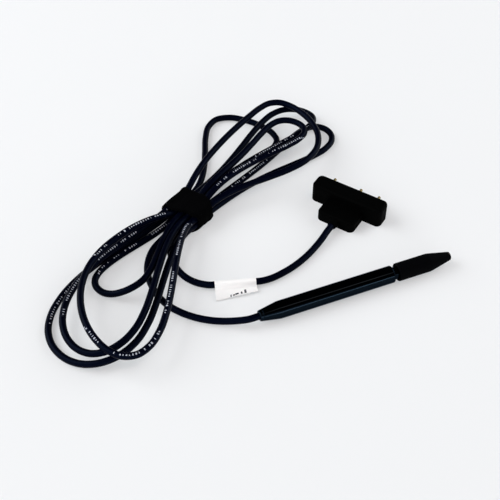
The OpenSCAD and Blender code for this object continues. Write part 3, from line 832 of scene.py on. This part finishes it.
def strap_winding(thickness):
    """The strap's middle line across the hank, as points and outward normals, and where its lap begins."""
    half, low, high, corner = STRAP_HALF, STRAP_FOOT, STRAP_TOP, STRAP_CORNER
    sides = [
        (Vector((STRAP_START, high)), Vector((-half + corner, high)), Vector((0, 1))),
        (Vector((-half, high - corner)), Vector((-half, low + corner)), Vector((-1, 0))),
        (Vector((-half + corner, low)), Vector((half - corner, low)), Vector((0, -1))),
        (Vector((half, low + corner)), Vector((half, high - corner)), Vector((1, 0))),
        (Vector((half - corner, high)), Vector((STRAP_START, high)), Vector((0, 1))),
    ]
    centres = [Vector((-half + corner, high - corner)), Vector((-half + corner, low + corner)),
               Vector((half - corner, low + corner)), Vector((half - corner, high - corner))]
    inner = []
    for place, (a, b, normal) in enumerate(sides):
        count = max(2, round((b - a).length / STRAP_STEP))
        inner += [(a.lerp(b, k / count), normal) for k in range(count + 1)]
        if place < len(centres):
            next_normal = sides[place + 1][2]
            for k in range(1, STRAP_CORNER_STEPS):
                angle = math.pi / 2 * k / STRAP_CORNER_STEPS
                out = normal * math.cos(angle) + next_normal * math.sin(angle)
                inner.append((centres[place] + out * corner, out))
    end = next(i for i, (point, normal) in enumerate(inner) if normal.x < -0.99 and point.y < LAP_LOW)
    climb = len(inner)
    line = []
    for place, (point, normal) in enumerate(inner + inner[LAP_FIRST:end + 1]):
        climbed = eased((place - climb) / CLIMB_STEPS + 0.5)
        line.append((point + normal * (thickness / 2 + climbed * thickness), normal))
    return line, climb


# Outline of the strap over the hank, in millimetres: place across the hank, and its two edges along the hank
STRAP_EDGES = (
    (-15.5, -4.6, 6.5), (-13.0, -5.2, 9.0), (-10.0, -6.2, 10.6), (-6.5, -6.4, 11.4), (-3.5, -6.6, 11.8),
    (0.0, -8.0, 12.0), (4.0, -9.6, 12.0), (10.0, -9.8, 11.6), (14.0, -10.8, 10.8), (16.0, -11.2, 9.6),
)


def strap_edges(across):
    """The strap's two edges at a place across the hank."""
    place = min(max(across, STRAP_EDGES[0][0]), STRAP_EDGES[-1][0])
    for (a, low, high), (b, next_low, next_high) in zip(STRAP_EDGES, STRAP_EDGES[1:]):
        if place <= b:
            share = eased((place - a) / (b - a))
            return low + (next_low - low) * share, high + (next_high - high) * share
    return STRAP_EDGES[-1][1:]


class HANDPIECE_OT_strap(bpy.types.Operator):
    """Winds the hook and loop strap once round the hank's waist and laps its end over the right side"""

    bl_idname = "handpiece.strap"
    bl_label = "Strap"

    def execute(self, context):
        size = context.scene.hp_strap
        line, climb = strap_winding(size.thickness)
        runs = runs_along([point for point, _ in line])

        def spot_of(column, share):
            (across, height), normal = line[column]
            run = runs[column]
            left = runs[-1] - run
            lapped = eased((column - climb) / RIPPLE_STEPS)
            # The shaped outline holds over the hank, and the plain width under it
            over = max(eased((height - 3.0 * MM) / (5.0 * MM)), eased((-across - 10.0 * MM) / (3.0 * MM)))
            low, high = (edge * MM * over + side * size.width / 2 * (1 - over)
                         for edge, side in zip(strap_edges(across / MM), (-1, 1)))
            round_off = min(left / (4.5 * MM), 1.0)
            narrow = 0.55 + 0.45 * math.sqrt(1 - (1 - round_off) ** 2)
            wave = 0.30 * MM * math.sin(run * 330) + 0.22 * MM * math.sin(run * 790 + 1)
            along = (low + high) / 2 + share * (high - low) / 2 * narrow + wave * (0.4 + 0.6 * abs(share))
            ripple = 0.12 * MM * math.sin(run * 420) + 0.10 * MM * math.sin(share * 5 + run * 300)
            curled_end = 0.45 * MM * eased(1 - left / (7 * MM)) * (0.6 + 0.4 * share)
            pressed_edge = 0.22 * MM * abs(share) ** 6
            dents = 0.32 * MM * math.sin(across * 520 + 0.7) * math.cos(along * 210 + 0.4)
            flare = 0.9 * MM * eased((along - 7 * MM) / (5 * MM))
            lift = lapped * (ripple + curled_end - pressed_edge) + over * (dents + flare)
            across += normal.x * lift
            height += normal.y * lift
            place = turned_to(HANK_AT, HANK_TURN, (along / MM, across / MM, height / MM))
            return (run, share * size.width / 2), place

        strap = shaped_sheet(len(line), STRAP_ROWS, "strap_run", size.thickness * LAYER_FILL, spot_of)
        soft = strap.modifiers.new("soft edge", "SUBSURF")
        soft.levels = soft.render_levels = 1
        apply_modifiers(strap)
        smooth_shade(strap, sharp=70)
        cloth = loop_cloth("loop cloth", tuple(size.cloth))
        add_piece(strap, "strap", cloth, "handle", "strap", "cord_strap")
        return {"FINISHED"}


# Fold of the label: radius round the cord, the crease's distance from the cord's axis, half the gap between
# the flag's halves, how far the upper half stops short, how far the lower one reaches past it, and the fall
# of the flag to the table
LABEL_WRAP, LABEL_CREASE, LABEL_GAP = 2.33 * MM, 3.5 * MM, 0.11 * MM
UPPER_SHORT, LOWER_PAST, FLAG_FALL = 0.2 * MM, 0.3 * MM, 2.25 * MM
# Half the opening of the wrap towards the flag, and the slant of the flag's end towards the plug
LABEL_PINCH = math.radians(34)
FLAG_SLANT = 0.22
FLAG_STEPS, WRAP_STEPS, LABEL_ROWS = 12, 32, 27
LABEL_FOLD = (
    *(("upper", k / FLAG_STEPS) for k in range(FLAG_STEPS)),
    *(("wrap", k / WRAP_STEPS) for k in range(WRAP_STEPS + 1)),
    *(("lower", k / FLAG_STEPS) for k in range(1, FLAG_STEPS + 1)),
)
# UV that keeps the ticks off the wrap and the lower half
WRAP_UV, LOWER_UV = 0.012, 0.05


class HANDPIECE_OT_label(bpy.types.Operator):
    """Folds the paper label round the cord, with its two halves stuck together as a flag on the near side"""

    bl_idname = "handpiece.label"
    bl_label = "Label"

    def execute(self, context):
        size = context.scene.hp_label
        half = size.length / 2
        tilt = math.asin(FLAG_FALL / size.reach)

        def spot_of(column, share):
            part, step = LABEL_FOLD[column]
            along = share * half
            edge = size.reach - UPPER_SHORT + (size.short_reach - size.reach) * (along + half) / (2 * half)
            if part == "wrap":
                angle = math.pi - LABEL_PINCH - (2 * math.pi - 2 * LABEL_PINCH) * step
                across, height = LABEL_WRAP * math.cos(angle), LABEL_WRAP * math.sin(angle)
                inside = edge - LABEL_CREASE + WRAP_UV * step
            elif part == "upper":
                across, height = -(edge + (LABEL_CREASE - edge) * step), LABEL_GAP
                inside = edge + across
            else:
                across, height = -(LABEL_CREASE + (edge + LOWER_PAST - LABEL_CREASE) * step), -LABEL_GAP
                inside = LOWER_UV - across
            spot = (along + half, inside)
            along += FLAG_SLANT * eased(along / half) * max(0.0, -across - LABEL_CREASE)
            out = eased((-across - 3 * MM) / (6 * MM))
            waves = 0.16 * MM * math.sin(along * 150 + 0.6) + 0.05 * MM * math.sin(along * 420)
            height += out * (waves + 0.18 * MM)
            across, height = (across * math.cos(tilt) - height * math.sin(tilt),
                              across * math.sin(tilt) + height * math.cos(tilt))
            place = (along / MM, across / MM, LABEL_AT[2] + height / MM)
            return spot, turned_to(LABEL_AT, LABEL_TURN, place)

        label = shaped_sheet(len(LABEL_FOLD), LABEL_ROWS, "label_run", size.thickness, spot_of)
        apply_modifiers(label)
        smooth_shade(label, sharp=40)
        paper = label_paper("label paper", tuple(size.paper), tuple(size.ink))
        add_piece(label, "label", paper, "handle", "label", "cord_label")
        return {"FINISHED"}


# Profiles of the turned pieces: stations from the handpiece's tail and radii, in millimetres
HANDLE_RINGS = (
    (2.2, 2.95), (2.2, 3.62), (2.23, 3.72), (2.34, 3.79), (2.6, 3.84), (7.0, 4.585), (11.7, 5.38),
    (12.4, 5.485), (13.0, 5.555), (13.7, 5.592), (14.6, 5.6), (40.0, 5.6), (65.0, 5.6), (89.1, 5.6),
    (89.45, 5.575), (89.72, 5.49), (89.9, 5.34), (89.98, 5.14), (90.0, 4.9), (90.0, 4.36), (90.06, 4.19),
    (90.2, 4.08), (90.42, 4.05), (103.4, 4.05), (103.7, 3.97), (103.9, 3.8), (104.0, 3.55), (104.0, 2.65),
    (66.0, 2.65), (66.0, 1.0), (19.6, 1.0), (19.6, 2.35), (14.4, 2.35), (14.4, 2.95), (2.2, 2.95),
)
CAP_RINGS = (
    (0.0, 2.35), (0.0, 2.42), (0.0, 2.95), (0.03, 3.12), (0.11, 3.27), (0.25, 3.38), (0.45, 3.46),
    (1.9, 3.72), (2.06, 3.72), (2.14, 3.67), (2.18, 3.58), (2.18, 2.9), (10.2, 2.9), (10.2, 2.35),
    (0.0, 2.35),
)
NOSE_RINGS = (
    (93.3, 4.95), (93.3, 5.22), (93.33, 5.42), (93.43, 5.6), (93.6, 5.74), (93.85, 5.825), (94.2, 5.85),
    (105.0, 5.85), (114.7, 5.85), (115.4, 5.838), (116.0, 5.795), (116.6, 5.705), (117.3, 5.577),
    (124.0, 4.17), (130.3, 2.847), (130.6, 2.77), (130.83, 2.65), (130.96, 2.48), (131.0, 2.3),
    (131.0, 2.02), (130.93, 1.9), (130.78, 1.85), (119.5, 1.85), (119.5, 2.3), (117.1, 2.3), (117.1, 4.15),
    (104.5, 4.15), (104.5, 4.95), (93.3, 4.95),
)
HANDPIECE_SIDES = 96
# Edges that show wear, as stations from the tail, and on the nose how far the rubbing reaches
HANDLE_WEAR = (90.0, 2.2)
CAP_WEAR = (2.2, 0.0)
NOSE_WEAR = ((93.3, 0.7), (116.0, 0.8), (131.0, 0.6))


def station(along):
    """The place on X of a station from the tail in millimetres."""
    return TAIL_X + along * MM


def along_handpiece(rings, name, material, body, slot, node):
    """A turned piece on the handpiece's axis that stands for a CAD node."""
    piece = turned_piece(rings, HANDPIECE_SIDES)
    put_in_place(piece, (TAIL_X, 0, AXIS_Z), (0, math.pi / 2, 0))
    smooth_shade(piece, sharp=32)
    add_piece(piece, name, material, body, slot, node)


class HANDPIECE_OT_handpiece(bpy.types.Operator):
    """Turns the handle, its tail cap and the nose, and finishes the chuck inside them"""

    bl_idname = "handpiece.handpiece"
    bl_label = "Handpiece"

    def execute(self, context):
        looks = context.scene.hp_handpiece
        gloss = polished_black("polished handle", tuple(looks.handle), map(station, HANDLE_WEAR))
        along_handpiece(HANDLE_RINGS, "handle", gloss, "handle", "handle", "handle_body")
        cap = polished_black("polished tail cap", lighter(looks.handle, 1.3), map(station, CAP_WEAR))
        along_handpiece(CAP_RINGS, "tail_end", cap, "handle", "handle", "tail_cap")
        worn_at = [(station(edge), reach * MM) for edge, reach in NOSE_WEAR]
        grip = matt_grip("matt nose", tuple(looks.nose), worn_at)
        along_handpiece(NOSE_RINGS, "nose", grip, "nose", "nose", "nose_sleeve")
        brass = turned_metal("turned brass", tuple(looks.brass), turn=0.0, rough=0.26)
        for name in ("chuck_body", "collet", "closing_sleeve"):
            finish_node(name, brass)
        finish_node("nose_thread_insert", turned_metal("blackened insert", BLACKENED, turn=0.0, rough=0.4))
        finish_node("cord_crimp_handle", turned_metal("crimp steel", CRIMP_STEEL, turn=0.0, rough=0.3))
        finish_node("handle_conductor", stranded_copper("stranded copper", COPPER, turn=0.0))
        return {"FINISHED"}


# The plug's blocks in its own frame, in millimetres: two corners, and radii of upright, top and foot edges
BAR = ((-6.25, -26.0, 0.0), (6.25, 26.0, 14.4), 3.5, 2.0, 0.4)
STEM = ((-20.65, -13.5, 0.0), (4.25, 13.5, 8.0), 3.5, 1.8, 0.3)
POCKET = ((0.25, -24.05, 1.95), (7.25, 24.05, 12.45), 0.0, 0.0, 0.0)
CARRIER = ((0.25, -24.0, 2.0), (6.25, 24.0, 12.4), 0.35, 0.35, 0.35)
# Profiles of its turned pieces and of the holes for them, and the places of its pins across the bar
ENTRY_RINGS = ((-22.0, 2.35), (-12.5, 2.35))
HOLE_RINGS = ((-1.0, 1.3), (8.0, 1.3))
PIN_RINGS = (
    (0.25, 1.25), (6.25, 1.25), (6.25, 1.12), (6.35, 1.03), (6.5, 1.0), (9.5, 1.0), (13.05, 1.0),
    (13.25, 0.97), (13.45, 0.87), (13.62, 0.71), (13.75, 0.5), (13.83, 0.26), (13.85, 0.06),
)
BOOT_RINGS = (
    (-24.65, 2.22), (-24.65, 2.6), (-24.6, 2.78), (-24.45, 2.9), (-24.1, 3.0), (-23.5, 3.1),
    (-23.35, 3.02), (-23.1, 3.02), (-22.95, 3.22), (-22.3, 3.36), (-22.15, 3.26), (-21.9, 3.26),
    (-21.75, 3.46), (-21.0, 3.62), (-20.65, 3.7), (-20.5, 3.7), (-20.5, 2.22), (-24.65, 2.22),
)
ENTRY_SIDES, HOLE_SIDES, PIN_SIDES, BOOT_SIDES = 40, 32, 40, 64
PIN_PLACES = (17.65, -2.25, -15.85)
PIN_Z = 7.2


def turned_in_plug(rings, sides, across, height):
    """A turned piece that lies along the plug's own X, at a place across it and a height in millimetres."""
    piece = turned_piece(rings, sides)
    put_in_place(piece, (0.0, across * MM, height * MM), (0.0, math.pi / 2, 0.0))
    return piece


def stand_in_plug(piece):
    """Moves a piece from the plug's own frame to the plug's place on the table."""
    put_in_place(piece, (PLUG_AT[0] * MM, PLUG_AT[1] * MM, 0.0), (0.0, 0.0, PLUG_TURN))


class HANDPIECE_OT_plug(bpy.types.Operator):
    """Moulds the plug's cover, its pin carrier and its boot, turns its pins and finishes what is inside it"""

    bl_idname = "handpiece.plug"
    bl_label = "Plug"

    def execute(self, context):
        looks = context.scene.hp_plug
        cover = rounded_block(*BAR)
        combine(cover, rounded_block(*STEM), "UNION")
        combine(cover, rounded_block(*POCKET), "DIFFERENCE")
        combine(cover, turned_in_plug(ENTRY_RINGS, ENTRY_SIDES, 0.0, STEM_Z), "DIFFERENCE")
        stand_in_plug(cover)
        even_shade(cover, sharp=34)
        matt = moulded_matt("moulded cover", tuple(looks.cover))
        add_piece(cover, "cover", matt, "handle", "plug", "plug_cover")

        carrier = rounded_block(*CARRIER)
        for place in PIN_PLACES:
            combine(carrier, turned_in_plug(HOLE_RINGS, HOLE_SIDES, place, PIN_Z), "DIFFERENCE")
        stand_in_plug(carrier)
        even_shade(carrier, sharp=34)
        resin = carrier_resin("carrier resin", tuple(looks.carrier))
        add_piece(carrier, "carrier", resin, "handle", "carrier", "pin_carrier")

        gold = turned_metal("gold plating", tuple(looks.gold), PLUG_TURN, rough=0.30)
        for number, place in enumerate(PIN_PLACES, 1):
            pin = turned_in_plug(PIN_RINGS, PIN_SIDES, place, PIN_Z)
            stand_in_plug(pin)
            smooth_shade(pin, sharp=40)
            add_piece(pin, f"pin_{number}", gold, "handle", "pins", f"contact_pin_{number}")

        boot = turned_in_plug(BOOT_RINGS, BOOT_SIDES, 0.0, STEM_Z)
        stand_in_plug(boot)
        smooth_shade(boot, sharp=40)
        boot_matt = moulded_matt("moulded boot", lighter(looks.cover, 1.2))
        add_piece(boot, "boot", boot_matt, "handle", "plug", "plug_boot")

        finish_node("cord_crimp_plug", turned_metal("plug crimp steel", CRIMP_STEEL, PLUG_TURN, rough=0.3))
        finish_node("plug_conductor", stranded_copper("plug copper", COPPER, PLUG_TURN))
        return {"FINISHED"}


# The stage, in metres: a table just under the object, and soft lamps that face the object's middle
TABLE_SIZE = 60.0
TABLE_AT = (-0.06, 0.09, -0.05 * MM)
LAMPS_FACE = (-0.05, 0.08, 0.0)
# name, place, width and height, watts, tint
LAMPS = (
    ("back softbox", (-1.25, 0.85, 1.15), (1.5, 1.2), 17.2, (0.965, 0.988, 1.0)),
    ("side softbox", (1.6, 0.2, 1.0), (1.2, 1.2), 9.0, (0.97, 0.985, 1.0)),
)
CAMERA_AT = (-0.2112, -0.3436, 0.4644)
CAMERA_TURN = (math.radians(43.0), 0.0, math.radians(-22.15))
CAMERA_SENSOR = 36.0
CAMERA_CLIP = (0.01, 100.0)
# Light of the room's parts, which the polished handle mirrors
ROOM_DIM = (0.030, 0.030, 0.032)
ROOM_FRONT = (0.84, 0.87, 0.92)
ROOM_ASIDE = (1.30, 1.31, 1.32)
FRONT_STRIP = (13.5, 13.0, 12.6)
CEILING_STRIP = (4.4, 2.8, 2.0)


def area_lamp(name, at, size, power, tint):
    clear_selection()
    bpy.ops.object.light_add(type="AREA", location=at)
    lamp = bpy.context.object
    lamp.name = name
    lamp.rotation_euler = (Vector(LAMPS_FACE) - Vector(at)).to_track_quat("-Z", "Y").to_euler()
    lamp.data.shape = "RECTANGLE"
    lamp.data.size, lamp.data.size_y = size
    lamp.data.energy = power
    lamp.data.color = tint


def studio_room(world):
    """Lights the world as a dim room with a pale front and sides, a strip in front and one on the ceiling."""
    world.use_nodes = True
    sky = first_socket(world.node_tree, "TexCoord", {}, "Generated")
    x, y, z = (sky.split(axis) for axis in "XYZ")
    front = y.between(-0.80, -0.90)
    aside = abs(x - 0.2).between(0.34, 0.62)
    strip = z.near(0.19, 0.010, 0.058) * front
    ceiling = y.near(-0.37, 0.02, 0.08) * (z > 0.2) * x.near(0.18, 0.24, 0.30)
    tone = front.blend(ROOM_DIM, ROOM_FRONT)
    tone = ceiling.blend(tone, CEILING_STRIP)
    tone = strip.blend(tone, FRONT_STRIP)
    tone = aside.blend(tone, ROOM_ASIDE)
    light = sky.node("Background", {}, {"Color": tone, "Strength": 1.0})
    sky.node("OutputWorld", {}, {"Surface": light})


class HANDPIECE_OT_stage(bpy.types.Operator):
    """Lays the white table, hangs the soft lamps and sets up the camera"""

    bl_idname = "handpiece.stage"
    bl_label = "Stage"

    def execute(self, context):
        looks = context.scene.hp_stage
        clear_selection()
        bpy.ops.mesh.primitive_plane_add(size=TABLE_SIZE, location=TABLE_AT)
        table = context.object
        table.name = "table"
        bpy.ops.object.transform_apply(location=True, rotation=True, scale=True)
        table.data.materials.append(white_table("white table", tuple(looks.table), tuple(looks.glow)))

        for lamp in LAMPS:
            area_lamp(*lamp)
        context.scene.world = context.scene.world or bpy.data.worlds.new("studio")
        studio_room(context.scene.world)

        clear_selection()
        bpy.ops.object.camera_add(location=CAMERA_AT, rotation=CAMERA_TURN)
        camera = context.object
        camera.name = "camera"
        camera.data.sensor_width = CAMERA_SENSOR
        camera.data.lens = looks.lens
        camera.data.clip_start, camera.data.clip_end = CAMERA_CLIP
        context.scene.camera = camera
        context.scene.view_settings.view_transform = "Standard"
        return {"FINISHED"}


OPERATORS = (HANDPIECE_OT_stage, HANDPIECE_OT_strap, HANDPIECE_OT_label, HANDPIECE_OT_plug,
             HANDPIECE_OT_cord, HANDPIECE_OT_handpiece)


class HANDPIECE_PT_sidebar(bpy.types.Panel):
    bl_label = "Corded chuck handpiece"
    bl_idname = "HANDPIECE_PT_sidebar"
    bl_space_type = "VIEW_3D"
    bl_region_type = "UI"
    bl_category = "Handpiece"

    def draw(self, context):
        for operator in OPERATORS:
            self.layout.operator(operator.bl_idname)
        for name, group in SETTINGS.items():
            box = self.layout.box()
            for key in group.__annotations__:
                box.prop(getattr(context.scene, name), key)


CLASSES = (*SETTINGS.values(), *OPERATORS, HANDPIECE_PT_sidebar)


def register():
    for item in CLASSES:
        bpy.utils.register_class(item)
    for name, group in SETTINGS.items():
        setattr(bpy.types.Scene, name, PointerProperty(type=group))


def unregister():
    for name in SETTINGS:
        delattr(bpy.types.Scene, name)
    for item in reversed(CLASSES):
        bpy.utils.unregister_class(item)


def main():
    register()
    bpy.ops.handpiece.stage()
    bpy.ops.handpiece.strap()
    bpy.ops.handpiece.label()
    bpy.ops.handpiece.plug()
    bpy.ops.handpiece.cord()
    bpy.ops.handpiece.handpiece()


if __name__ == "__main__":
    main()
